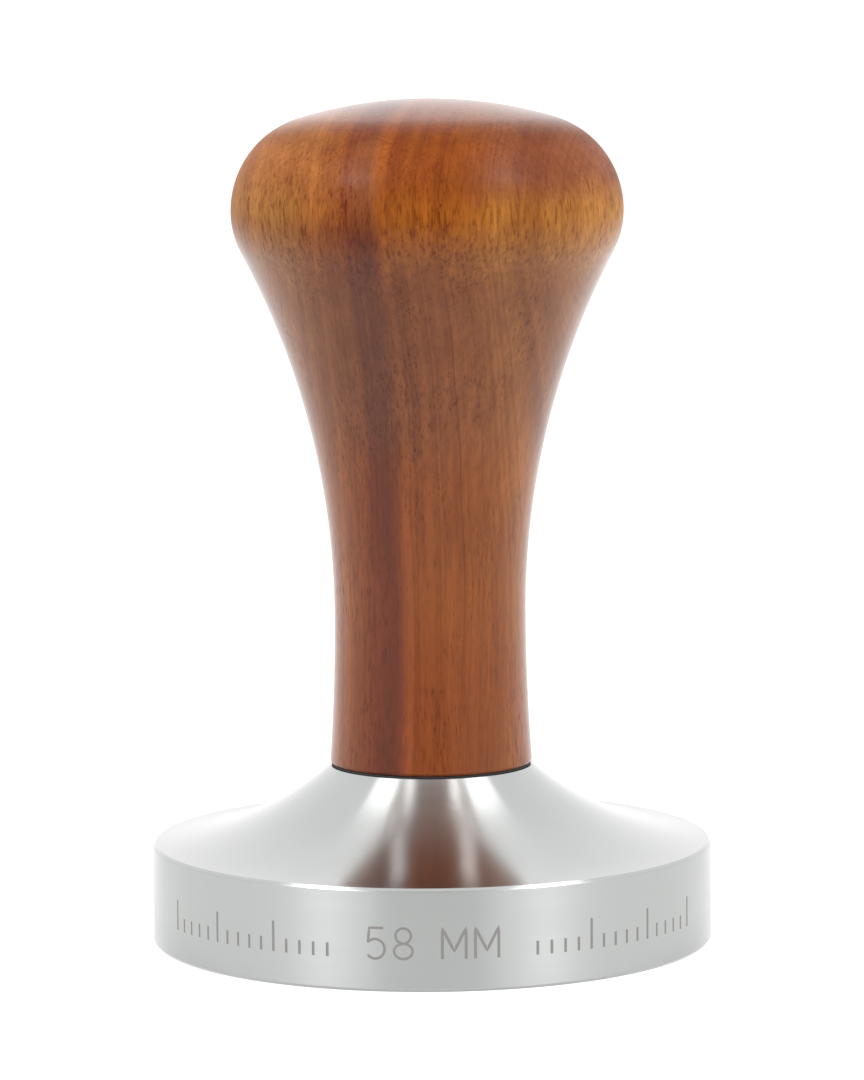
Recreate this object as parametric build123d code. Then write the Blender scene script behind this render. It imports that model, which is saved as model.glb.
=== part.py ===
"""Espresso tamper for 58 mm baskets: a turned steel base with a screwed-on wooden handle.

Millimetres, +Z up. The origin is the centre of the flat foot, and +Z is the turning axis that
every piece shares. Each piece is its own closed solid in parts/NODE.step.
"""

from build123d import *
import math
import os

# Steel base
BASE_DIAMETER = 58.35  # slides into a 58 mm basket
BAND_HEIGHT = 10.4  # straight wall, foot edge to rim
EDGE_CHAMFER = 0.3
SEAT_DIAMETER = 21.2  # flat land under the handle
SEAT_HEIGHT = 18.3
COVE_RADIUS = 31.7  # hollow sweep from the seat down to the rim

# Joining stud, an M8 x 1.25 set screw 25 mm long
THREAD_DIAMETER = 8.0
STUD_LENGTH = 25.0
STUD_IN_BASE = 12.0
STUD_CHAMFER = 0.8
SOCKET_ACROSS_FLATS = 4.0
SOCKET_DEPTH = 5.0

# Tapped hole in the base
HOLE_RELIEF = 1.0  # depth below the stud's end
HOLE_COUNTERSINK = 0.6
DRILL_POINT_ANGLE = 118.0

# Rubber gasket between base and handle
GASKET_THICKNESS = 0.18
GASKET_DIAMETER = 20.8
GASKET_BORE = 12.6
FACE_GAP = 0.01  # each side of the gasket

# Threaded insert in the handle
INSERT_DIAMETER = 12.0
INSERT_LENGTH = 15.0
THREAD_CLEARANCE = 0.1  # on the radius, between stud and insert
INSERT_CHAMFER = 0.5
INSERT_RECESS = 0.3  # insert face inside the handle's foot
SLOT_WIDTH = 1.6
SLOT_DEPTH = 2.0

# Wooden handle: five arcs, each tangent to the next
TOTAL_HEIGHT = 87.5
FOOT_DIAMETER = 21.15
FOOT_ROUNDING = 0.35
WAIST_DIAMETER = 19.94
WAIST_HEIGHT = 34.3
FLARE_RADIUS = 80.4  # hollow sweep from the waist up to the knob
KNOB_DIAMETER = 40.56
KNOB_HEIGHT = 76.0  # level of the widest circle
SHOULDER_RADIUS = 10.0  # round above the widest circle
BORE_RELIEF = 1.5  # depth past the insert

FOOT_HEIGHT = SEAT_HEIGHT + 2 * FACE_GAP + GASKET_THICKNESS


def turned(lines):
    """Revolves a closed outline, drawn as (radius, height), about the axis."""
    return revolve(make_face(Plane.XZ * lines), Axis.Z)


def drilled(diameter, mouth, bottom):
    """A blind hole's cutting shape, from height mouth to height bottom, with a drill point."""
    radius = diameter / 2
    tip = radius / math.tan(math.radians(DRILL_POINT_ANGLE / 2))
    end = bottom + math.copysign(tip, bottom - mouth)
    return turned(Polyline((0, mouth), (radius, mouth), (radius, bottom), (0, end), (0, mouth)))


def cone(radius, height, depth):
    """A 90 degree countersink's cutting shape, widest at the given height; depth is signed."""
    outer = radius + abs(depth)
    return turned(Polyline((0, height), (outer, height), (radius, height + depth),
                           (0, height + depth), (0, height)))


def tamper_base():
    """Flat foot, straight band, one hollow sweep up to the seat, and a blind hole for the stud."""
    radius = BASE_DIAMETER / 2
    rim = (radius - EDGE_CHAMFER, BAND_HEIGHT)
    seat = (SEAT_DIAMETER / 2, SEAT_HEIGHT)
    outline = Polyline((0, 0), (radius - EDGE_CHAMFER, 0), (radius, EDGE_CHAMFER),
                       (radius, BAND_HEIGHT - EDGE_CHAMFER), rim)
    outline += ThreePointArc(rim, cove_middle(rim, seat), seat)
    outline += Polyline(seat, (0, SEAT_HEIGHT), (0, 0))
    hole_bottom = SEAT_HEIGHT - STUD_IN_BASE - HOLE_RELIEF
    return (turned(outline) - drilled(THREAD_DIAMETER, SEAT_HEIGHT, hole_bottom)
            - cone(THREAD_DIAMETER / 2, SEAT_HEIGHT, -HOLE_COUNTERSINK))


def cove_middle(rim, seat):
    """Middle point of the cove's arc, which sags below its chord towards the axis."""
    across, up = rim[0] - seat[0], seat[1] - rim[1]
    chord = math.hypot(across, up)
    sag = COVE_RADIUS - math.sqrt(COVE_RADIUS**2 - chord**2 / 4)
    return ((rim[0] + seat[0]) / 2 - sag * up / chord, (rim[1] + seat[1]) / 2 - sag * across / chord)


def joining_stud():
    """Plain rod at the thread's outer diameter, chamfered, with a hexagon socket on top."""
    bottom = SEAT_HEIGHT - STUD_IN_BASE
    rod = Pos(0, 0, bottom) * extrude(Circle(THREAD_DIAMETER / 2), STUD_LENGTH)
    rod = chamfer(rod.edges().filter_by(GeomType.CIRCLE), STUD_CHAMFER)
    across_corners = SOCKET_ACROSS_FLATS / math.cos(math.radians(30))
    socket = extrude(RegularPolygon(across_corners / 2, 6), SOCKET_DEPTH)
    return rod - Pos(0, 0, bottom + STUD_LENGTH - SOCKET_DEPTH) * socket


def seat_gasket():
    """Thin flat ring of rubber between the seat and the handle's foot."""
    ring = Circle(GASKET_DIAMETER / 2) - Circle(GASKET_BORE / 2)
    return Pos(0, 0, SEAT_HEIGHT + FACE_GAP) * extrude(ring, GASKET_THICKNESS)


def threaded_insert():
    """Sleeve in the handle: plain bore at the thread's outer diameter, and a screwdriver slot."""
    face = FOOT_HEIGHT + INSERT_RECESS
    bore = THREAD_DIAMETER / 2 + THREAD_CLEARANCE
    sleeve = Pos(0, 0, face) * extrude(Circle(INSERT_DIAMETER / 2) - Circle(bore), INSERT_LENGTH)
    sleeve -= cone(bore, face, INSERT_CHAMFER)
    slot = Box(INSERT_DIAMETER, SLOT_WIDTH, SLOT_DEPTH, align=(Align.CENTER, Align.CENTER, Align.MIN))
    return sleeve - Pos(0, 0, face) * slot


def flare_joint():
    """Where the flare meets the round under the knob, and the same for shoulder and crown."""
    waist, knob = WAIST_DIAMETER / 2, KNOB_DIAMETER / 2
    rise = KNOB_HEIGHT - WAIST_HEIGHT
    reach = waist + FLARE_RADIUS - knob
    under = (reach**2 + rise**2 - FLARE_RADIUS**2) / (2 * (knob - waist))
    flare_centre = (waist + FLARE_RADIUS, WAIST_HEIGHT)
    joint = beyond((knob - under, KNOB_HEIGHT), flare_centre, -FLARE_RADIUS)
    shoulder_centre = (knob - SHOULDER_RADIUS, KNOB_HEIGHT)
    top = TOTAL_HEIGHT - KNOB_HEIGHT
    crown = (shoulder_centre[0]**2 + top**2 - SHOULDER_RADIUS**2) / (2 * (top - SHOULDER_RADIUS))
    return joint, beyond(shoulder_centre, (0, TOTAL_HEIGHT - crown), crown)


def beyond(through, centre, radius):
    """Point at a signed radius from centre, on the line from centre through another point."""
    across, up = through[0] - centre[0], through[1] - centre[1]
    length = math.hypot(across, up)
    return (centre[0] + abs(radius) * across / length, centre[1] + abs(radius) * up / length)


def wooden_handle():
    """Waisted grip with a domed knob, turned in one piece, bored from below for the insert."""
    waist = (WAIST_DIAMETER / 2, WAIST_HEIGHT)
    knob = (KNOB_DIAMETER / 2, KNOB_HEIGHT)
    foot = (FOOT_DIAMETER / 2, FOOT_HEIGHT)
    top = (0, TOTAL_HEIGHT)
    flare_end, crown_end = flare_joint()
    outline = TangentArc(waist, foot, tangent=(0, -1))
    outline += TangentArc(waist, flare_end, tangent=(0, 1))
    outline += TangentArc(knob, flare_end, tangent=(0, -1))
    outline += TangentArc(knob, crown_end, tangent=(0, 1))
    outline += TangentArc(top, crown_end, tangent=(1, 0))
    outline += Polyline(top, (0, FOOT_HEIGHT), foot)
    body = turned(outline)
    foot_edge = body.edges().filter_by(GeomType.CIRCLE).sort_by(Axis.Z)[0]
    body = fillet(foot_edge, FOOT_ROUNDING)
    bore_end = FOOT_HEIGHT + INSERT_RECESS + INSERT_LENGTH + BORE_RELIEF
    return body - drilled(INSERT_DIAMETER, FOOT_HEIGHT, bore_end)


PIECES = (tamper_base, joining_stud, seat_gasket, threaded_insert, wooden_handle)

os.makedirs("parts", exist_ok=True)
for make_piece in PIECES:
    export_step(make_piece(), f"parts/{make_piece.__name__}.step")
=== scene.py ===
"""Espresso tamper: turned steel base, threaded stud, gasket, brass insert and turned wooden handle.

Shapes are worked out in millimetres and scaled to metres as each piece is finished. The frame is
the part's own: +Z up along the turning axis, with the foot at height 0.
"""

import math

import bmesh
import bpy
from mathutils import Matrix, Vector


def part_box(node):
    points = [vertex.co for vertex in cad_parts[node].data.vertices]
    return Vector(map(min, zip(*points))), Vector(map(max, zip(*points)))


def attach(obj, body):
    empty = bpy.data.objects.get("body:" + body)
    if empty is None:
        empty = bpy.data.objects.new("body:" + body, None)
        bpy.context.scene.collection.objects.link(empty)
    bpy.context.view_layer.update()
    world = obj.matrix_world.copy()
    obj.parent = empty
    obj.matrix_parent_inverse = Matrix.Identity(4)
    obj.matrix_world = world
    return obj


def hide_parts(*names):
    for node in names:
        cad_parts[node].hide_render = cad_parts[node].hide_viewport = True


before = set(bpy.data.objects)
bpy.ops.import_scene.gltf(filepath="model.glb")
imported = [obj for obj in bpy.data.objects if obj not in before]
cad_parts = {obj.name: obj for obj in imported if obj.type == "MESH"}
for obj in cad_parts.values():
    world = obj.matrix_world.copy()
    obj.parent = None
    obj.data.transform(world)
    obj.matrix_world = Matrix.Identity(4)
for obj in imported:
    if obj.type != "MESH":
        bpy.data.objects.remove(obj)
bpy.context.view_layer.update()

MM = 0.001


def box_mm(node):
    """A CAD node's lowest and highest corner, in millimetres."""
    low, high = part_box(node)
    return low / MM, high / MM


# Steel base
BASE_RADIUS = 29.175
BAND_HEIGHT = 10.4
EDGE_CHAMFER = 0.3
SEAT_RADIUS = 10.6
SEAT_HEIGHT = box_mm("tamper_base")[1].z
COVE_RADIUS = 31.7
HOLE_RADIUS = 4.0
HOLE_COUNTERSINK = 0.6
HOLE_RELIEF = 1.0  # depth below the stud's end
EDGE_ROUNDING = 0.05  # breaks every sharp turned edge
HOLD = 0.04  # a flat's last ring stands this far from the rounding beside it

# M8 coarse thread, shared by stud and insert
PITCH = 1.25
CREST = 3.97
ROOT = 3.24
FLANK_ANGLE = 30.0  # degrees
THREAD_PLAY = 0.06  # on the radius, between stud and insert
STUD_LOW, STUD_HIGH = (corner.z for corner in box_mm("joining_stud"))
STUD_CHAMFER = 0.8
SOCKET_ACROSS_FLATS = 4.0
SOCKET_DEPTH = 5.0
SOCKET_CHAMFER = 0.2
SOCKET_MOUTH_SIDES = 48
CUP_DEPTH = 0.8

# Brass insert
INSERT_RADIUS = 6.0
INSERT_LOW, INSERT_HIGH = (corner.z for corner in box_mm("threaded_insert"))
WOOD_THREAD_PITCH = 2.5
WOOD_THREAD_DEPTH = 0.7
FIN_FOOT, FIN_CREST_LOW, FIN_CREST_HIGH = 0.6, 0.78, 0.82  # where its fin stands, as shares of a pitch
SLOT_WIDTH = 1.6
SLOT_DEPTH = 2.0
INSERT_CHAMFER = 0.5
COLLAR_HEIGHT = 1.2

# Gasket
GASKET_LOW, GASKET_HIGH = (corner.z for corner in box_mm("seat_gasket"))
GASKET_RADIUS = 10.4
GASKET_BORE_RADIUS = 6.3

# Wooden handle
FOOT_HEIGHT, TOP_HEIGHT = (corner.z for corner in box_mm("wooden_handle"))
FOOT_RADIUS = 10.575
FOOT_ROUNDING = 0.35
WAIST_RADIUS = 9.97
WAIST_HEIGHT = 34.3
FLARE_RADIUS = 80.4
KNOB_RADIUS = 20.28
KNOB_HEIGHT = 76.0
SHOULDER_RADIUS = 10.0
BORE_RELIEF = 1.5

# Size mark, etched on the band
MARK_TEXT = "58 MM"
MARK_HEIGHT = 3.1
MARK_MIDDLE = 4.9  # height of its middle above the foot
MARK_GAP = 0.3  # between signs, in sign heights
STROKE_WIDTH = 0.3
STROKE_RELIEF = 0.02
TICK_START, TICK_STEP, TICK_COUNT = 21.0, 3.0, 15  # degrees from the middle, each side
TALL_TICK, SHORT_TICK = 5, 0.45  # every fifth is tall; the rest are this share of it

# Wood: (distance across the layers, shade), from one side of the knob to the other
LAYER_LEAN = 0.2  # how far a layer leans sideways for each millimetre of depth
LAYER_DRIFT = 2.4
LAYERS = (
    (-20.0, (156, 92, 46)), (-12.0, (152, 90, 44)), (-9.0, (142, 80, 34)), (-7.0, (136, 73, 28)),
    (-5.0, (124, 60, 21)), (-4.2, (113, 50, 18)), (-3.4, (108, 47, 17)), (-1.8, (106, 46, 17)),
    (-1.1, (124, 58, 20)), (-0.5, (139, 70, 20)), (1.5, (141, 73, 21)), (3.6, (144, 75, 21)),
    (4.8, (137, 69, 17)), (7.0, (144, 76, 21)), (9.0, (150, 84, 30)), (11.0, (154, 92, 38)),
    (13.0, (144, 82, 33)), (15.0, (152, 91, 39)), (18.0, (164, 103, 50)), (20.0, (166, 106, 52)))
WOOD_DEPTH = 0.56  # share of each shade's light that the bare wood keeps under the bright studio

# Heights where the wood's colour changes, by its figure and in places by painted shade: (from, to,
# softness)
FOOT_SHAFT = (15.0, 46.0, 4.0)
UPPER_SHAFT = (40.0, 71.0, 3.0)
FLARE_FRONT = (50.0, 69.0, 5.0)
# painted shade with a greyish painted reflection, under the knob where the flare faces down
SHADED_FLARE = (52.0, 70.5, 5.0)
BELT = (70.5, 78.5, 2.0)  # golden open grain round the knob
SHOULDER = (75.4, 84.0, 0.9)
OVER_BELT = (75.5, 86.0, 1.5)
STRIPED_DOME = (78.0, 95.0, 2.0)
DOME = (78.4, 95.0, 2.2)
# the crown is painted darker: painted shade that tones down how brightly its top is lit
SHADED_CROWN = (83.0, 95.0, 1.0)
WORN_FROM, WORN_TO = (71.0, 77.0), (83.5, 86.5)  # the palm rubs between these two slopes

# Studio, in millimetres and degrees unless it says otherwise
SENSOR_WIDTH = 36.0
LENS = 160.28
CAMERA_DISTANCE = 500.0
CAMERA_DOWN = 6.526
CAMERA_ROLL = -0.43
CAMERA_AIM = 41.74  # height of the aim point on the axis
CAMERA_SIDE = 0.25
FLOOR_RADIUS = 3.0  # metres
FLOOR_GAP = 0.00002  # metres
FLOOR_SIDES = 96
FLOOR_SHADE, FLOOR_GLOW = 0.3, 0.75  # matt, and lit from within so that it stays even
SURROUND = 1.38
CARDS = (  # name, (width, height), place, point it faces, emission; all in metres
    ("camera_flag", (0.3, 0.42), (0, -0.35, 0.14), (0, 0, 0.05), 0.5),
    ("left_softbox", (0.2, 0.2), (-0.28, 0.16, 0.74), (0, 0, 0.02), 2.8),
    ("right_softbox", (0.22, 0.2), (0.3, 0.15, 0.72), (0, 0, 0.02), 2.8),
    ("left_upper_key", (0.2, 0.16), (-0.38, -0.16, 0.62), (0, 0, 0.02), 13.0),
    ("right_upper_key", (0.2, 0.16), (0.39, -0.12, 0.62), (0, 0, 0.02), 13.0),
    ("left_lower_key", (0.2, 0.2), (-0.42, -0.34, 0.52), (0, 0, 0.02), 36.0),
    ("right_lower_key", (0.2, 0.2), (0.44, -0.3, 0.52), (0, 0, 0.02), 36.0),
)

DRILL_POINT = math.tan(math.radians(31))  # rise over radius of a 118 degree drill point
SEGMENTS = 256  # round a large turned piece
THREAD_SEGMENTS = 64  # round one turn of thread
SHARP_ANGLE = 30.0  # degrees; an edge that turns further is shaded sharp
MERGE_DISTANCE = 1e-4
PLANE_TOLERANCE = 1e-6
LEVEL_TOLERANCE = 1e-3


# ---------------------------------------------------------------- outlines, in (radius, height)


def arc(centre, start, end, steps):
    """Points from start to end round a centre, the short way."""
    centre = Vector(centre)
    first = Vector(start) - centre
    last = Vector(end) - centre
    turn = first.angle_signed(last)
    points = []
    for step in range(steps + 1):
        share = step / steps
        spoke = Matrix.Rotation(-turn * share, 2) @ first
        length = first.length + (last.length - first.length) * share
        points.append(centre + spoke.normalized() * length)
    return points


def chord_centre(start, end, radius):
    """Centre of the arc of that radius from start to end, on the left of the way from start."""
    start, end = Vector(start), Vector(end)
    half = (end - start) / 2
    left = Vector((-half.y, half.x)).normalized()
    return start + half + left * math.sqrt(radius**2 - half.length_squared)


def corner(before, at, after, radius=EDGE_ROUNDING, steps=4):
    """Points that round a corner, and a holding point beside each end so that flats stay flat."""
    at = Vector(at)
    back = (Vector(before) - at).normalized()
    ahead = (Vector(after) - at).normalized()
    half = back.angle(ahead) / 2
    reach = radius / math.tan(half)
    centre = at + (back + ahead).normalized() * radius / math.sin(half)
    rounding = arc(centre, at + back * reach, at + ahead * reach, steps)
    return [at + back * (reach + HOLD), *rounding, at + ahead * (reach + HOLD)]


def base_outline():
    """Foot centre, foot edge, band, rim, cove, seat and the blind hole's drill point."""
    inner = BASE_RADIUS - EDGE_CHAMFER
    foot, wall = (inner, 0), (BASE_RADIUS, EDGE_CHAMFER)
    wall_top, rim = (BASE_RADIUS, BAND_HEIGHT - EDGE_CHAMFER), (inner, BAND_HEIGHT)
    seat = (SEAT_RADIUS, SEAT_HEIGHT)
    cove = arc(chord_centre(seat, rim, COVE_RADIUS), rim, seat, steps=60)
    mouth = (HOLE_RADIUS + HOLE_COUNTERSINK, SEAT_HEIGHT)
    hole = (HOLE_RADIUS, SEAT_HEIGHT - HOLE_COUNTERSINK)
    hole_end = (HOLE_RADIUS, STUD_LOW - HOLE_RELIEF)
    return [
        Vector((0, 0)),
        *corner((0, 0), foot, wall),
        *corner(foot, wall, wall_top),
        *corner(wall, wall_top, rim),
        *corner(wall_top, rim, cove[1]),
        *cove[1:-1],
        *corner(cove[-2], seat, mouth),
        *corner(seat, mouth, hole),
        Vector(hole),
        Vector(hole_end),
        Vector((0, hole_end[1] - HOLE_RADIUS * DRILL_POINT)),
    ]


def gasket_outline():
    """Closed outline of the ring, with its outer edge squeezed round."""
    middle = (GASKET_LOW + GASKET_HIGH) / 2
    half = (GASKET_HIGH - GASKET_LOW) / 2
    edge = GASKET_RADIUS - half
    low, high = (edge, GASKET_LOW), (edge, GASKET_HIGH)
    bulge = arc((edge, middle), low, (GASKET_RADIUS, middle), steps=5)
    bulge += arc((edge, middle), (GASKET_RADIUS, middle), high, steps=5)[1:]
    return [Vector((GASKET_BORE_RADIUS, GASKET_LOW)), *bulge, Vector((GASKET_BORE_RADIUS, GASKET_HIGH))]


def handle_outline():
    """Bore, foot, waist, flare, knob and crown: five arcs, each tangent to the next."""
    foot = (FOOT_RADIUS, FOOT_HEIGHT)
    waist = (WAIST_RADIUS, WAIST_HEIGHT)
    knob = (KNOB_RADIUS, KNOB_HEIGHT)
    top = (0, TOP_HEIGHT)

    drop, spread = WAIST_HEIGHT - FOOT_HEIGHT, FOOT_RADIUS - WAIST_RADIUS
    skirt_centre = Vector((WAIST_RADIUS + (drop**2 + spread**2) / (2 * spread), WAIST_HEIGHT))

    flare_centre = Vector((WAIST_RADIUS + FLARE_RADIUS, WAIST_HEIGHT))
    rise, reach = KNOB_HEIGHT - WAIST_HEIGHT, flare_centre.x - KNOB_RADIUS
    under = (reach**2 + rise**2 - FLARE_RADIUS**2) / (2 * (KNOB_RADIUS - WAIST_RADIUS))
    under_centre = Vector((KNOB_RADIUS - under, KNOB_HEIGHT))
    flare_end = flare_centre + (under_centre - flare_centre).normalized() * FLARE_RADIUS

    shoulder_centre = Vector((KNOB_RADIUS - SHOULDER_RADIUS, KNOB_HEIGHT))
    dome = TOP_HEIGHT - KNOB_HEIGHT
    crown = (shoulder_centre.x**2 + dome**2 - SHOULDER_RADIUS**2) / (2 * (dome - SHOULDER_RADIUS))
    crown_centre = Vector((0, TOP_HEIGHT - crown))
    shoulder_end = crown_centre + (shoulder_centre - crown_centre).normalized() * crown

    bore_end = INSERT_HIGH + BORE_RELIEF
    skirt = arc(skirt_centre, foot, waist, steps=24)
    return [
        Vector((0, bore_end + INSERT_RADIUS * DRILL_POINT)),
        Vector((INSERT_RADIUS, bore_end)),
        *corner((INSERT_RADIUS, bore_end), (INSERT_RADIUS, FOOT_HEIGHT), foot),
        *corner((INSERT_RADIUS, FOOT_HEIGHT), foot, skirt[1], FOOT_ROUNDING, steps=8),
        *skirt[1:],
        *arc(flare_centre, waist, flare_end, steps=56)[1:],
        *arc(under_centre, flare_end, knob, steps=26)[1:],
        *arc(shoulder_centre, knob, shoulder_end, steps=34)[1:],
        *arc(crown_centre, shoulder_end, top, steps=22)[1:],
    ]


# ---------------------------------------------------------------- meshes, in millimetres


def turned(points, closed=False):
    """An outline spun once about the axis. A closed outline makes a ring."""
    mesh = bmesh.new()
    verts = [mesh.verts.new((point[0], 0, point[1])) for point in points]
    pairs = list(zip(verts, verts[1:]))
    if closed:
        pairs.append((verts[-1], verts[0]))
    edges = [mesh.edges.new(pair) for pair in pairs]
    bmesh.ops.spin(mesh, geom=verts + edges, cent=(0, 0, 0), axis=(0, 0, 1), dvec=(0, 0, 0),
                   angle=math.tau, steps=SEGMENTS, use_merge=True)
    bmesh.ops.remove_doubles(mesh, verts=mesh.verts, dist=MERGE_DISTANCE)
    bmesh.ops.recalc_face_normals(mesh, faces=mesh.faces)
    return mesh


def helix(mesh, tooth, pitch, low, high):
    """Adds a screw surface, one tooth outline swept up the axis, and trims it between two heights.

    The tooth is one pitch tall in (radius, height). Every helix starts from height 0, so two of
    the same pitch are in mesh.
    """
    first = math.floor(low / pitch) - 1
    turns = math.ceil(high / pitch) + 1 - first
    verts = [mesh.verts.new((radius, 0, height + first * pitch)) for radius, height in tooth]
    edges = [mesh.edges.new(pair) for pair in zip(verts, verts[1:])]
    bmesh.ops.spin(mesh, geom=verts + edges, cent=(0, 0, 0), axis=(0, 0, 1),
                   dvec=(0, 0, pitch / THREAD_SEGMENTS), angle=math.tau * turns,
                   steps=turns * THREAD_SEGMENTS, use_merge=False)
    bmesh.ops.remove_doubles(mesh, verts=mesh.verts, dist=MERGE_DISTANCE)
    for height, side in ((low, -1), (high, 1)):
        geometry = mesh.verts[:] + mesh.edges[:] + mesh.faces[:]
        bmesh.ops.bisect_plane(mesh, geom=geometry, dist=PLANE_TOLERANCE, plane_co=(0, 0, height),
                               plane_no=(0, 0, side), clear_outer=True)


def machine_tooth(play=0.0):
    """One pitch of the M8 thread: root flat, flank, crest flat and flank."""
    flank = (CREST - ROOT) * math.tan(math.radians(FLANK_ANGLE))
    crest_flat = PITCH / 8
    root_flat = PITCH - crest_flat - 2 * flank
    heights = (0, root_flat, root_flat + flank, root_flat + flank + crest_flat, PITCH)
    radii = (ROOT, ROOT, CREST, CREST, ROOT)
    return [(radius + play, height) for radius, height in zip(radii, heights)]


def wood_tooth():
    """One pitch of the insert's outer thread: a thin sharp fin on a thick core."""
    core = INSERT_RADIUS - WOOD_THREAD_DEPTH
    shares = (0, FIN_FOOT, FIN_CREST_LOW, FIN_CREST_HIGH, 1)
    radii = (core, core, INSERT_RADIUS, INSERT_RADIUS, core)
    return [(radius, share * WOOD_THREAD_PITCH) for radius, share in zip(radii, shares)]


def open_loop(mesh, height):
    """The open edges that lie at a height."""
    return [edge for edge in mesh.edges if edge.is_boundary
            and all(abs(vert.co.z - height) < LEVEL_TOLERANCE for vert in edge.verts)]


def limit_radius(mesh, limit, keep_under=True):
    """Moves each point in, or out, to the radius that limit(height) gives, where it is past it."""
    for vert in mesh.verts:
        radius = vert.co.xy.length
        allowed = limit(vert.co.z)
        if (radius > allowed) if keep_under else (radius < allowed):
            vert.co.xy *= allowed / radius


def ring(mesh, radius, height, count):
    """The edges of a new level circle of straight sides."""
    place = Matrix.Translation((0, 0, height))
    made = bmesh.ops.create_circle(mesh, segments=count, radius=radius, matrix=place)
    return list({edge for vert in made["verts"] for edge in vert.link_edges})


def bridge(mesh, *loops):
    """Walls from each loop to the next."""
    for one, other in zip(loops, loops[1:]):
        bmesh.ops.bridge_loops(mesh, edges=one + other)


def close_to_point(mesh, loop, height):
    """Closes an open loop with a cone to a point on the axis."""
    made = bmesh.ops.extrude_edge_only(mesh, edges=loop)
    verts = [item for item in made["geom"] if isinstance(item, bmesh.types.BMVert)]
    bmesh.ops.pointmerge(mesh, verts=verts, merge_co=(0, 0, height))


def stud_mesh():
    """Threaded rod with chamfered ends, a cup point below and a hexagon socket above."""
    mesh = bmesh.new()
    helix(mesh, machine_tooth(), PITCH, STUD_LOW, STUD_HIGH)
    inset = CREST - STUD_CHAMFER
    limit_radius(mesh, lambda height: inset + min(height - STUD_LOW, STUD_HIGH - height))
    low, high = open_loop(mesh, STUD_LOW), open_loop(mesh, STUD_HIGH)
    corners = SOCKET_ACROSS_FLATS / 2 / math.cos(math.radians(30))
    floor = STUD_HIGH - SOCKET_DEPTH
    mouth = ring(mesh, corners + SOCKET_CHAMFER, STUD_HIGH, SOCKET_MOUTH_SIDES)
    hexagon = ring(mesh, corners, STUD_HIGH - SOCKET_CHAMFER, 6)
    hexagon_floor = ring(mesh, corners, floor, 6)
    bridge(mesh, high, mouth, hexagon, hexagon_floor)
    close_to_point(mesh, hexagon_floor, floor - corners * DRILL_POINT)
    close_to_point(mesh, low, STUD_LOW + CUP_DEPTH)
    bmesh.ops.recalc_face_normals(mesh, faces=mesh.faces)
    return mesh


def insert_mesh():
    """Sleeve threaded inside and out, countersunk, with a collar and a screwdriver slot below."""
    mesh = bmesh.new()
    helix(mesh, machine_tooth(THREAD_PLAY), PITCH, INSERT_LOW, INSERT_HIGH)
    mouth = CREST + INSERT_CHAMFER
    limit_radius(mesh, lambda height: mouth - (height - INSERT_LOW), keep_under=False)
    outside = bmesh.new()
    helix(outside, wood_tooth(), WOOD_THREAD_PITCH, INSERT_LOW, INSERT_HIGH)
    collar_top = INSERT_LOW + COLLAR_HEIGHT
    limit_radius(outside, lambda height: INSERT_RADIUS if height < collar_top else 0, keep_under=False)
    outside_data = bpy.data.meshes.new("insert_outside")
    outside.to_mesh(outside_data)
    outside.free()
    mesh.from_mesh(outside_data)
    bpy.data.meshes.remove(outside_data)
    # The inner and outer loops differ in their number of points. At INSERT_LOW the bridge leaves
    # stray flat faces over the bore, inside the joint: a known fault.
    bmesh.ops.bridge_loops(mesh, edges=open_loop(mesh, INSERT_LOW))
    bmesh.ops.bridge_loops(mesh, edges=open_loop(mesh, INSERT_HIGH))
    bmesh.ops.recalc_face_normals(mesh, faces=mesh.faces)

    slot = bmesh.new()
    size = Matrix.Diagonal((3 * INSERT_RADIUS, SLOT_WIDTH, 2 * SLOT_DEPTH, 1))
    bmesh.ops.create_cube(slot, size=1, matrix=Matrix.Translation((0, 0, INSERT_LOW)) @ size)
    return without(mesh, slot)


def without(mesh, cutter):
    """The first mesh with the second cut away. Both are used up."""
    objects = []
    for part in (mesh, cutter):
        data = bpy.data.meshes.new("cutting")
        part.to_mesh(data)
        part.free()
        objects.append(bpy.data.objects.new("cutting", data))
        bpy.context.scene.collection.objects.link(objects[-1])
    cut = objects[0].modifiers.new("cut", "BOOLEAN")
    cut.operation = "DIFFERENCE"
    cut.solver = "EXACT"
    cut.object = objects[1]
    result = bmesh.new()
    result.from_object(objects[0], bpy.context.evaluated_depsgraph_get())
    for thing in objects:
        bpy.data.meshes.remove(thing.data)
    return result


# ---------------------------------------------------------------- the size mark on the band


def line(start, end, step=0.4):
    """Evenly spaced points along a straight stroke, close enough to bend round the band."""
    start, end = Vector(start), Vector(end)
    count = max(1, math.ceil((end - start).length / step))
    return [start.lerp(end, share / count) for share in range(count + 1)]


def oval(centre, across, up, start, end, steps=16):
    """Points of an oval's stretch between two angles in degrees, counter-clockwise from +X."""
    angles = [math.radians(start + (end - start) * step / steps) for step in range(steps + 1)]
    return [Vector(centre) + Vector((across * math.cos(a), up * math.sin(a))) for a in angles]


def strokes_of(sign):
    """Strokes of a plain engraved sign one unit high, and its width."""
    if sign == "5":
        top = line((0.56, 1), (0.1, 1), 0.15) + line((0.1, 1), (0.06, 0.56), 0.15)[1:]
        bowl = oval((0.29, 0.32), 0.31, 0.32, 138, -142)
        return [top + bowl], 0.6
    if sign == "8":
        return [oval((0.3, 0.75), 0.25, 0.25, -90, 270), oval((0.3, 0.25), 0.3, 0.25, 90, 450)], 0.6
    if sign == "M":
        posts = line((0, 0), (0, 1), 0.15), line((0, 1), (0.38, 0.25), 0.15)
        mirrored = [[Vector((0.76 - p.x, p.y)) for p in reversed(post)] for post in reversed(posts)]
        return [posts[0] + posts[1][1:] + mirrored[0][1:] + mirrored[1][1:]], 0.76
    return [], 0.35  # a space


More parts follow.
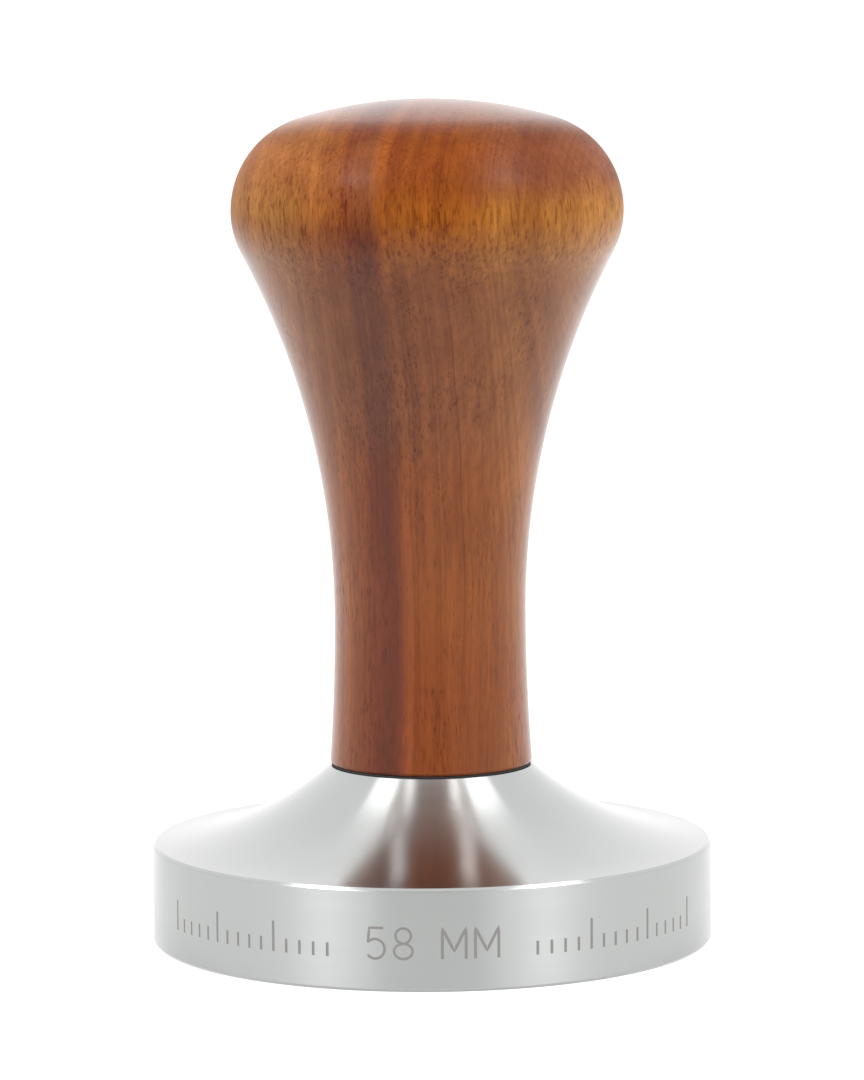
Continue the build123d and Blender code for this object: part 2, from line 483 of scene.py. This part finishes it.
def mark_strokes():
    """Strokes of the size and of the scale either side, as (arc length, height) in millimetres."""
    strokes = []
    signs = [strokes_of(sign) for sign in MARK_TEXT]
    total = sum(width for _, width in signs) + MARK_GAP * (len(signs) - 1)
    along = -total / 2
    for drawn, width in signs:
        for stroke in drawn:
            strokes.append([Vector((along + p.x, p.y)) * MARK_HEIGHT for p in stroke])
        along += width + MARK_GAP
    for side in (-1, 1):
        for tick in range(TICK_COUNT):
            angle = math.radians(TICK_START + tick * TICK_STEP) * side
            tall = 1 if tick % TALL_TICK == TALL_TICK - 1 else SHORT_TICK
            foot = Vector((angle * BASE_RADIUS, 0))
            strokes.append([foot, foot + Vector((0, MARK_HEIGHT * tall))])
    return strokes


def mark_mesh():
    """Thin strokes laid round the band, a hair proud of it."""
    curve = bpy.data.curves.new("mark_strokes", "CURVE")
    curve.dimensions = "3D"
    curve.bevel_depth = STROKE_WIDTH / 2
    curve.bevel_resolution = 1
    curve.use_fill_caps = True
    for stroke in mark_strokes():
        spline = curve.splines.new("POLY")
        spline.points.add(len(stroke) - 1)
        for point, place in zip(spline.points, stroke):
            point.co = (place.x, 0, place.y, 1)
    drawing = bpy.data.objects.new("mark_strokes", curve)
    bpy.context.scene.collection.objects.link(drawing)
    bpy.context.view_layer.update()
    data = bpy.data.meshes.new_from_object(drawing)
    mesh = bmesh.new()
    mesh.from_mesh(data)
    bpy.data.objects.remove(drawing)
    bpy.data.meshes.remove(data)
    for vert in mesh.verts:
        angle = vert.co.x / BASE_RADIUS - math.pi / 2
        radius = BASE_RADIUS - vert.co.y * STROKE_RELIEF / STROKE_WIDTH
        height = MARK_MIDDLE - MARK_HEIGHT / 2 + vert.co.z
        vert.co = (radius * math.cos(angle), radius * math.sin(angle), height)
    bmesh.ops.recalc_face_normals(mesh, faces=mesh.faces)
    return mesh


# ---------------------------------------------------------------- shader maths


class Value:
    """One output of a shader node. Arithmetic on it adds Math nodes."""

    def __init__(self, finish, socket):
        self.finish = finish
        self.socket = socket

    def __add__(self, other):
        return self.finish.math("ADD", self, other)

    def __radd__(self, other):
        return self.finish.math("ADD", other, self)

    def __sub__(self, other):
        return self.finish.math("SUBTRACT", self, other)

    def __rsub__(self, other):
        return self.finish.math("SUBTRACT", other, self)

    def __mul__(self, other):
        return self.finish.math("MULTIPLY", self, other)

    def __rmul__(self, other):
        return self.finish.math("MULTIPLY", other, self)

    def __truediv__(self, other):
        return self.finish.math("DIVIDE", self, other)


class Finish:
    """A surface finish: constants on the shader's own sockets, and values that vary over it."""

    def __init__(self, name, constants):
        self.material = bpy.data.materials.new(name)
        self.material.use_nodes = True
        self.tree = self.material.node_tree
        self.shader = self.tree.nodes["Principled BSDF"]
        for socket, value in constants.items():
            self.shader.inputs[socket].default_value = value

    def node(self, kind, settings, inputs, output=0):
        """Any node: its settings first, then the values or links of its sockets."""
        made = self.tree.nodes.new(kind)
        for setting, value in settings.items():
            if setting == "stops":
                self.set_stops(made.color_ramp.elements, value)
            else:
                setattr(made, setting, value)
        for socket, value in inputs.items():
            self.feed(made.inputs[socket], value)
        return Value(self, made.outputs[output])

    def set_stops(self, elements, stops):
        """A ramp's (position, colour) stops."""
        while len(elements) < len(stops):
            elements.new(1.0)
        for element, (position, colour) in zip(elements, stops):
            element.position = position
            element.color = colour

    def feed(self, socket, value):
        """Links a value to a socket, or sets the socket to a number, colour or vector."""
        if isinstance(value, Value):
            self.tree.links.new(value.socket, socket)
        else:
            socket.default_value = value

    def varies(self, socket, value):
        """Links a value to one of the main shader's sockets."""
        self.feed(self.shader.inputs[socket], value)

    def math(self, operation, *values):
        """A Math node on values or numbers."""
        return self.node("ShaderNodeMath", {"operation": operation}, dict(enumerate(values)))

    def place(self, scale=(1, 1, 1)):
        """Position on the object in millimetres, stretched by a factor each way."""
        here = self.node("ShaderNodeTexCoord", {}, {}, output="Object")
        factors = Vector(scale) / MM
        return self.node("ShaderNodeVectorMath", {"operation": "MULTIPLY"}, {0: here, 1: factors})

    def parts(self, vector):
        """A vector's X, Y and Z."""
        split = self.tree.nodes.new("ShaderNodeSeparateXYZ")
        self.feed(split.inputs[0], vector)
        return [Value(self, output) for output in split.outputs]

    def noise(self, vector, detail=2.0, roughness=0.5):
        """Smooth noise in space."""
        inputs = {"Vector": vector, "Scale": 1.0, "Detail": detail, "Roughness": roughness}
        return self.node("ShaderNodeTexNoise", {}, inputs)

    def line_noise(self, along, detail=2.0):
        """Noise that varies along one number only."""
        settings = {"noise_dimensions": "1D"}
        return self.node("ShaderNodeTexNoise", settings, {"W": along, "Scale": 1.0, "Detail": detail})

    def spots(self, vector):
        """Distance to the nearest of many scattered points."""
        inputs = {"Vector": vector, "Scale": 1.0, "Randomness": 1.0}
        return self.node("ShaderNodeTexVoronoi", {}, inputs, output="Distance")

    def between(self, value, low, high, at_low=0.0, at_high=1.0):
        """Eases from one number to another as the value goes from low to high."""
        inputs = {"Value": value, "From Min": low, "From Max": high, "To Min": at_low, "To Max": at_high}
        return self.node("ShaderNodeMapRange", {"interpolation_type": "SMOOTHSTEP"}, inputs)

    def ramp(self, value, stops):
        """A colour picked from stops by a value from 0 to 1."""
        return self.node("ShaderNodeValToRGB", {"stops": stops}, {"Fac": value})

    def mix(self, factor, one, other, blend="MIX"):
        """Mixes two colours."""
        settings = {"data_type": "RGBA", "blend_type": blend}
        return self.node("ShaderNodeMix", settings, {0: factor, 6: one, 7: other}, output=2)

    def bump(self, height, depth_mm, strength):
        """Tilts the surface by a height that varies over it."""
        inputs = {"Height": height, "Distance": depth_mm * MM, "Strength": strength}
        self.varies("Normal", self.node("ShaderNodeBump", {}, inputs))


def colour(red, green, blue):
    """A linear colour from the 8-bit values that a colour card gives."""
    def linear(level):
        """One level from 0 to 255, with the display's curve taken off."""
        level /= 255
        return level / 12.92 if level <= 0.04045 else ((level + 0.055) / 1.055) ** 2.4

    return (linear(red), linear(green), linear(blue), 1.0)


# ---------------------------------------------------------------- finishes


def turned_steel():
    """Stainless steel with the fine rings that a lathe leaves, blurred across the rings."""
    steel = Finish("turned_steel", {
        "Metallic": 1.0, "Anisotropic": 0.88, "Anisotropic Rotation": 0.25})
    x, y, z = steel.parts(steel.place())
    radius = steel.math("SQRT", x * x + y * y)
    along = z - radius  # runs on steadily over seat, cove, band and foot
    rings = steel.line_noise(along * 9.0, detail=3.0)
    bands = steel.line_noise(along * 0.9, detail=2.0)
    cloud = steel.noise(steel.place((0.09, 0.09, 0.09)), detail=3.0)
    tone = 0.94 + 0.07 * rings + 0.05 * cloud
    pale, dull = (0.44, 0.449, 0.443, 1), (0.37, 0.379, 0.373, 1)
    band = steel.between(radius, BASE_RADIUS - 0.1, BASE_RADIUS - 0.02)  # cut with a coarser feed
    steel.varies("Base Color", steel.mix(steel.between(tone - 0.06 * band, 0.94, 1.05), dull, pale))
    steel.varies("Roughness", 0.12 + 0.05 * rings + 0.04 * bands + 0.04 * cloud + 0.11 * band)
    steel.bump(rings, 0.004, 0.35)
    return steel


def plain_steel():
    """Rolled-thread stainless steel, a little greyer than the turned base."""
    steel = Finish("plain_steel", {"Metallic": 1.0})
    cloud = steel.noise(steel.place((0.5, 0.5, 0.5)), detail=4.0)
    grain = steel.noise(steel.place((6, 6, 6)), detail=2.0)
    steel.varies("Base Color", steel.mix(cloud, (0.42, 0.42, 0.41, 1), (0.62, 0.62, 0.6, 1)))
    steel.varies("Roughness", 0.24 + 0.14 * cloud + 0.08 * grain)
    steel.bump(grain, 0.01, 0.3)
    return steel


def machined_brass():
    """Bright brass, ringed by the lathe and slightly tarnished in patches."""
    brass = Finish("machined_brass", {"Metallic": 1.0})
    x, y, z = brass.parts(brass.place())
    rings = brass.line_noise((z - brass.math("SQRT", x * x + y * y)) * 8.0)
    tarnish = brass.noise(brass.place((0.35, 0.35, 0.35)), detail=4.0)
    bright, dull = colour(226, 190, 112), colour(160, 116, 58)
    brass.varies("Base Color", brass.mix(brass.between(tarnish, 0.35, 0.75), bright, dull))
    brass.varies("Roughness", 0.2 + 0.12 * rings + 0.16 * tarnish)
    brass.bump(rings, 0.006, 0.3)
    return brass


def black_rubber():
    """Matt black rubber with a fine moulded grain."""
    rubber = Finish("black_rubber", {"Specular IOR Level": 0.35})
    grain = rubber.noise(rubber.place((9, 9, 9)), detail=3.0)
    rubber.varies("Base Color", rubber.mix(grain, (0.006, 0.006, 0.006, 1), (0.02, 0.02, 0.019, 1)))
    rubber.varies("Roughness", 0.58 + 0.25 * grain)
    rubber.bump(grain, 0.01, 0.5)
    return rubber


def etched_steel():
    """Dark matt oxide that laser marking leaves on steel."""
    etched = Finish("etched_steel", {"Metallic": 0.6})
    grain = etched.noise(etched.place((12, 12, 12)), detail=2.0)
    etched.varies("Base Color", etched.mix(grain, (0.12, 0.115, 0.11, 1), (0.24, 0.235, 0.23, 1)))
    etched.varies("Roughness", 0.45 + 0.2 * grain)
    return etched


def deep(*shade):
    """A wood shade, darkened for the bright studio."""
    return (*(WOOD_DEPTH * part for part in colour(*shade)[:3]), 1)


def handle_wood():
    """Reddish-brown hardwood: layers that stand near upright, straight fibre, pores and lacquer, with
    painted shade under the knob, on the dome and on the crown.
    """
    wood = Finish("handle_wood", {
        "Specular IOR Level": 0.05, "Coat Roughness": 0.2, "Coat IOR": 1.31})
    x, y, z = wood.parts(wood.place())
    drift = wood.noise(wood.place((0.06, 0.06, 0.022)), detail=2.0) - 0.5
    layer = x - LAYER_LEAN * y + LAYER_DRIFT * drift
    layers = wood.ramp(layer / (2 * KNOB_RADIUS) + 0.5, [
        ((across + KNOB_RADIUS) / (2 * KNOB_RADIUS), deep(*shade)) for across, shade in LAYERS])
    cloud = wood.noise(wood.place((0.14, 0.14, 0.09)), detail=3.0)
    level = z + 5.0 * (cloud - 0.5)  # the figure's edges wander up and down

    def tinted(body, amount, tint):
        """The body colour, multiplied by a tint where the amount is 1."""
        return wood.mix(amount, body, wood.mix(1.0, body, (*tint, 1), "MULTIPLY"))

    def zone(low, high, soft):
        """1 between two heights, easing to 0 outside them."""
        entering = wood.between(level, low - soft, low + soft)
        return entering * wood.between(level, high - soft, high + soft, 1.0, 0.0)

    body = tinted(layers, wood.between(level, 26.0, 38.0, 1.0, 0.0), (0.93, 0.8, 0.5))
    # painted shade: a greyish dark brown mixed into the flare under the knob, standing in for its shade
    # and the hazy reflection of the floor
    body = wood.mix(0.4 * zone(*SHADED_FLARE), body, deep(112, 75, 54))
    body = tinted(body, zone(*FLARE_FRONT) * wood.between(layer, 0.0, 6.0), (1.13, 1.12, 1.06))
    body = tinted(body, zone(*FOOT_SHAFT) * wood.between(layer, 0.0, 4.0), (0.93, 0.93, 0.92))
    belt = zone(*BELT)
    right = wood.between(layer, -1.5, 0.0)
    left = wood.between(layer, -10.5, -8.5, 1.0, 0.0)
    body = tinted(body, belt * right, (1.15, 1.28, 1.15))
    body = tinted(body, belt * left, (0.95, 1.1, 1.05))
    middle = (1 - right - left) * zone(*OVER_BELT)
    body = tinted(body, middle, (1.3, 1.55, 1.7))
    shoulder = zone(*SHOULDER)
    body = tinted(body, shoulder * left, (1.12, 1.22, 1.22))
    heart = wood.between(layer, -4.4, -3.4) * wood.between(layer, -1.6, -0.8, 1.0, 0.0)
    body = tinted(body, shoulder * heart, (1.16, 1.45, 1.8))
    dome = zone(*DOME)
    body = tinted(body, dome * wood.between(layer, -1.5, 1.5), (0.86, 0.8, 0.74))
    # a purple patch in the wood on the dome's right, painted darker as painted shade that cancels the
    # key light's highlight there
    body = tinted(body, dome * wood.between(layer, 7.0, 10.0), (0.8, 0.74, 1.3))
    # painted shade: the knob's top darkened evenly so that it reads less brightly lit
    body = tinted(body, zone(*SHADED_CROWN), (0.84, 0.84, 0.82))

    bands = wood.line_noise(layer * 0.55, detail=3.0)
    lines = wood.line_noise(layer * 2.6 + 0.8 * drift, detail=2.0)
    streak = wood.noise(wood.place((0.9, 0.9, 0.02)), detail=3.0, roughness=0.6)
    body = tinted(body, wood.between(bands, 0.42, 0.68, 0.0, 0.7), (0.80, 0.74, 0.74))
    body = tinted(body, wood.between(lines, 0.5, 0.75, 0.0, 0.7), (0.84, 0.76, 0.7))
    stripes = wood.line_noise(layer * 0.8 + 3.7, detail=1.0)
    body = tinted(body, zone(*STRIPED_DOME) * wood.between(stripes, 0.46, 0.62), (0.92, 0.87, 0.94))
    body = tinted(body, zone(*UPPER_SHAFT) * wood.between(stripes, 0.48, 0.58), (0.87, 0.83, 0.87))
    body = tinted(body, wood.between(streak, 0.45, 0.7, 0.0, 0.6), (0.82, 0.74, 0.7))
    body = tinted(body, wood.between(streak, 0.3, 0.5, 0.8, 0.0), (1.16, 1.18, 1.14))

    crowd = wood.noise(wood.place((0.2, 0.2, 0.07)), detail=2.0)
    fibre = wood.noise(wood.place((2.9, 2.9, 0.5)), detail=3.0, roughness=0.7)
    open_grain = 0.36 + 0.4 * wood.between(crowd, 0.4, 0.65) + 0.55 * belt
    body = tinted(body, open_grain * wood.between(fibre, 0.5, 0.68), (0.62, 0.5, 0.38))
    body = tinted(body, open_grain * wood.between(fibre, 0.34, 0.48, 1.0, 0.0), (1.2, 1.22, 1.2))

    size = wood.between(crowd, 0.38, 0.68, 0.05, 0.17)
    spots = wood.spots(wood.place((3.2, 3.2, 0.5)))
    pore = wood.between(spots, size, size + 0.12, 1.0, 0.0)
    wood.varies("Base Color", wood.mix(0.42 * pore, body, deep(70, 28, 10)))
    wood.varies("Roughness", 0.42 + 0.16 * fibre + 0.2 * pore)
    worn = wood.between(z, *WORN_FROM) * wood.between(z, *WORN_TO, 1.0, 0.0)
    wood.varies("Coat Weight", (0.95 - 0.91 * worn) * (1 - 0.4 * pore))
    wood.bump(0.35 * fibre - pore, 0.015, 0.3)
    return wood


# ---------------------------------------------------------------- pieces


def finished(name, mesh, finish, body, node=None):
    """Scales a mesh to metres and hangs it in the scene on its body, in place of its CAD node."""
    bmesh.ops.scale(mesh, vec=(MM, MM, MM), verts=mesh.verts)
    data = bpy.data.meshes.new(name)
    mesh.to_mesh(data)
    mesh.free()
    for polygon in data.polygons:
        polygon.use_smooth = True
    data.set_sharp_from_angle(angle=math.radians(SHARP_ANGLE))
    data.materials.clear()
    data.materials.append(finish.material)
    piece = bpy.data.objects.new(name, data)
    bpy.context.scene.collection.objects.link(piece)
    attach(piece, body)
    if node:
        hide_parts(node)
    return piece


steel = turned_steel()
finished("turned_base", turned(base_outline()), steel, "base", "tamper_base")
finished("threaded_stud", stud_mesh(), plain_steel(), "base", "joining_stud")
finished("size_mark", mark_mesh(), etched_steel(), "base")
finished("rubber_gasket", turned(gasket_outline(), closed=True), black_rubber(), "gasket",
         "seat_gasket")
finished("brass_insert", insert_mesh(), machined_brass(), "handle", "threaded_insert")
finished("turned_handle", turned(handle_outline()), handle_wood(), "handle",
         "wooden_handle")


# ---------------------------------------------------------------- studio


def card(name, size, place, facing, emission):
    """A flat studio card that faces a point. It is a lamp or a flag, kept out of the picture."""
    mesh = bmesh.new()
    bmesh.ops.create_grid(mesh, x_segments=1, y_segments=1, size=0.5)
    bmesh.ops.scale(mesh, vec=(size[0], size[1], 1), verts=mesh.verts)
    turn = (Vector(facing) - Vector(place)).to_track_quat("Z", "Y").to_matrix().to_4x4()
    bmesh.ops.transform(mesh, matrix=Matrix.Translation(place) @ turn, verts=mesh.verts)
    data = bpy.data.meshes.new(name)
    mesh.to_mesh(data)
    mesh.free()
    paint = Finish(name, {"Base Color": (0, 0, 0, 1), "Roughness": 1.0, "Specular IOR Level": 0.0,
                          "Emission Color": (1, 1, 1, 1), "Emission Strength": emission})
    data.materials.append(paint.material)
    thing = bpy.data.objects.new(name, data)
    bpy.context.scene.collection.objects.link(thing)
    thing.visible_camera = False


def floor():
    """Plain pale floor, just under the foot."""
    mesh = bmesh.new()
    bmesh.ops.create_circle(mesh, cap_ends=True, segments=FLOOR_SIDES, radius=FLOOR_RADIUS,
                            matrix=Matrix.Translation((0, 0, -FLOOR_GAP)))
    data = bpy.data.meshes.new("floor")
    mesh.to_mesh(data)
    mesh.free()
    paint = Finish("pale_floor", {
        "Base Color": (FLOOR_SHADE, FLOOR_SHADE, FLOOR_SHADE, 1), "Roughness": 0.9,
        "Specular IOR Level": 0.0, "Emission Color": (1, 1, 1, 1), "Emission Strength": FLOOR_GLOW})
    data.materials.append(paint.material)
    thing = bpy.data.objects.new("floor", data)
    bpy.context.scene.collection.objects.link(thing)


def surround(strength):
    """Even white light from all round."""
    world = bpy.data.worlds.new("white_surround")
    world.use_nodes = True
    world.node_tree.nodes["Background"].inputs["Color"].default_value = (1, 1, 1, 1)
    world.node_tree.nodes["Background"].inputs["Strength"].default_value = strength
    bpy.context.scene.world = world


def camera():
    """A long lens, a little above the object and turned slightly, aimed at a point on the axis."""
    data = bpy.data.cameras.new("camera")
    data.sensor_width = SENSOR_WIDTH
    data.lens = LENS
    eye = bpy.data.objects.new("camera", data)
    bpy.context.scene.collection.objects.link(eye)
    turn = Matrix.Rotation(math.radians(90 - CAMERA_DOWN), 4, "X")
    turn = turn @ Matrix.Rotation(math.radians(CAMERA_ROLL), 4, "Z")
    aim = Vector((0, 0, CAMERA_AIM * MM))
    place = aim + turn @ Vector((CAMERA_SIDE * MM, 0, CAMERA_DISTANCE * MM))
    eye.matrix_world = Matrix.Translation(place) @ turn
    bpy.context.scene.camera = eye


floor()
surround(SURROUND)
for each in CARDS:
    card(*each)
camera()
bpy.context.scene.view_settings.view_transform = "Standard"
